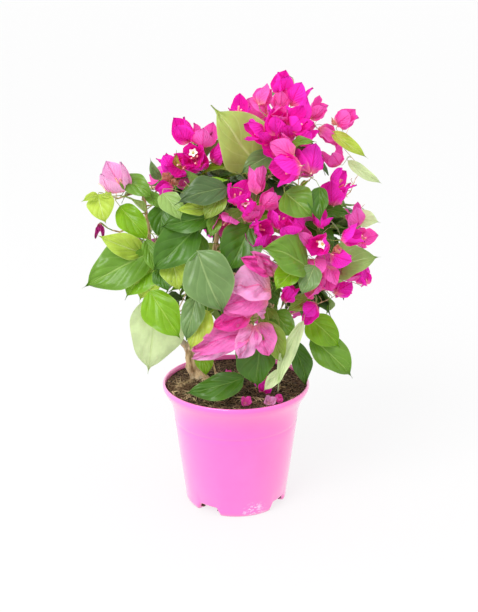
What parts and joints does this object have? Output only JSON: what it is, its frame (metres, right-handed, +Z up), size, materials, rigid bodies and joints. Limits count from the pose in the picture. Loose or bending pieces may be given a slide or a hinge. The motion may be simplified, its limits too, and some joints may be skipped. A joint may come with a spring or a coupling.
{
  "type": "potted bougainvillea bush",
  "caption": "Young bougainvillea bush with a short leaning stem, green leaves and magenta bracts, growing in a round pink plastic nursery pot with notched feet.",
  "frame": {"origin": "centre of the flat underside of the pot, at the surface it stands on", "axes": "+Z up along the pot's axis, +X to the right across the bush's broad side, -Y towards its front"},
  "size_m": [0.332, 0.23, 0.4994],
  "materials": {
    "pot": "satin",
    "soil": "matte",
    "bark": "matte",
    "leaves": "satin",
    "blossom": "matte"
  },
  "bodies": {
    "root": {"pot": "pot", "root_ball": "soil", "trunk": "bark", "bough_left": "bark", "bough_centre": "bark", "bough_right": "bark", "bough_front": "bark", "bough_back": "bark", "blossom_top": "blossom", "leaf_crest": "leaves", "blossom_top_front": "blossom", "blossom_top_right": "blossom", "blossom_pair": "blossom", "sprig_right_high": "blossom", "leaf_right_slender": "leaves", "blossom_right_fan": "blossom", "blossom_right_edge": "blossom", "leaves_right_edge": "leaves", "blossom_right_low": "blossom", "blossom_heart": "blossom", "blossom_middle": "blossom", "leaves_middle_right": "leaves", "leaves_middle_high": "leaves", "blossom_left": "blossom", "blossom_left_low": "blossom", "leaves_shoulder": "leaves", "blossom_far_left": "blossom", "leaves_far_left": "leaves", "leaves_left_high": "leaves", "leaves_left": "leaves", "leaves_left_middle": "leaves", "leaf_centre": "leaves", "leaves_centre_dark": "leaves", "leaves_centre_right": "leaves", "blossom_pale_high": "blossom", "blossom_pale_low": "blossom", "leaves_left_low": "leaves", "leaf_left_hanging": "leaves", "leaf_foot_middle": "leaves", "leaf_over_soil": "leaves", "leaves_right_low": "leaves", "leaves_right_skirt": "leaves", "leaf_front_hanging": "leaves", "leaf_right_foot": "leaves", "leaves_back_top": "leaves", "leaves_back_left_high": "leaves", "leaves_back_right_high": "leaves", "leaves_back_left_low": "leaves", "leaves_back_right_low": "leaves", "leaves_back_middle": "leaves", "leaves_back_low": "leaves", "leaves_core_high": "leaves", "leaves_core_low": "leaves"}
  },
  "joints": []
}
